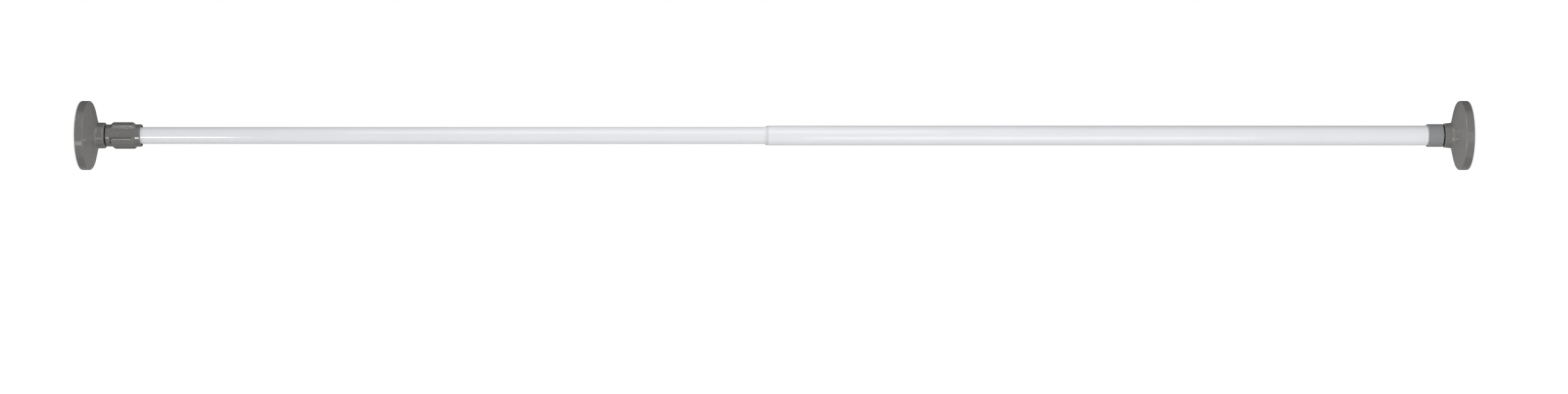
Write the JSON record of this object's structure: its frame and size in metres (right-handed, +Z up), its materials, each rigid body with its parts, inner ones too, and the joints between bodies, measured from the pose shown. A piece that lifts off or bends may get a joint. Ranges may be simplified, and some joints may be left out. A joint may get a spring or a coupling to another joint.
{
  "type": "telescopic tension rod",
  "caption": "Telescopic tension rod: nested white steel tubes with a twist lock, a ribbed screw-jack grip and round swivelling grey pads that brace it between two walls.",
  "frame": {"origin": "middle of the right pad's wall face", "axes": "+X along the rod, out of the right wall face; +Z up; the jack grip is towards -X"},
  "size_m": [1.9751, 0.0984, 0.0984],
  "materials": {
    "coated_steel": "gloss white coating",
    "milky_polypropylene": "milky, satin",
    "cool_grey_nylon": "satin moulded",
    "warm_grey_abs": "semi-gloss moulded",
    "natural_acetal": "natural moulded",
    "black_acetal": "black moulded",
    "white_eva": "soft matt sheet",
    "zinc_steel": "zinc plated"
  },
  "bodies": {
    "outer_tube": {"outer_tube": "coated_steel", "end_ring": "milky_polypropylene", "right_socket": "cool_grey_nylon"},
    "right_pad": {"right_pad": "warm_grey_abs", "right_ball_retainer": "black_acetal", "right_grip_sheet": "white_eva"},
    "lock_cam": {"lock_cam": "natural_acetal"},
    "inner_tube": {"inner_tube": "coated_steel", "lock_core": "cool_grey_nylon", "lock_washer": "zinc_steel", "lock_screw": "zinc_steel", "jack_plug": "natural_acetal", "thrust_washer": "zinc_steel"},
    "jack_grip": {"jack_grip": "warm_grey_abs", "jack_nut": "zinc_steel", "grip_bush": "natural_acetal"},
    "jack_screw": {"jack_screw": "zinc_steel", "jack_stop": "zinc_steel"},
    "left_pad": {"left_pad": "warm_grey_abs", "left_ball_retainer": "black_acetal", "left_grip_sheet": "white_eva"}
  },
  "joints": [
    {"name": "right_pad_tilt", "type": "hinge", "parent": "outer_tube", "child": "right_pad", "pos_m": [-0.026, 0, 0], "axis": [0, 1, 0], "range_deg": [-5, 5]},
    {"name": "tube_slide", "type": "slide", "parent": "outer_tube", "child": "lock_cam", "axis": [1, 0, 0], "range_m": [0, 0.8866]},
    {"name": "lock_twist", "type": "hinge", "parent": "lock_cam", "child": "inner_tube", "pos_m": [-0.9583, 0, 0], "axis": [1, 0, 0], "range_deg": [-20, 20]},
    {"name": "jack_turn", "type": "hinge", "parent": "inner_tube", "child": "jack_grip", "pos_m": [-1.9134, 0, 0], "axis": [1, 0, 0], "range_deg": [0, 2880]},
    {"name": "jack_extend", "type": "slide", "parent": "inner_tube", "child": "jack_screw", "axis": [-1, 0, 0], "range_m": [0, 0.0241]},
    {"name": "left_pad_tilt", "type": "hinge", "parent": "jack_screw", "child": "left_pad", "pos_m": [-1.9491, 0, 0], "axis": [0, 1, 0], "range_deg": [-5, 5]}
  ],
  "couplings": [
    {"joint": "jack_extend", "follows": "jack_turn", "m_per_rad": 0.00047746}
  ]
}
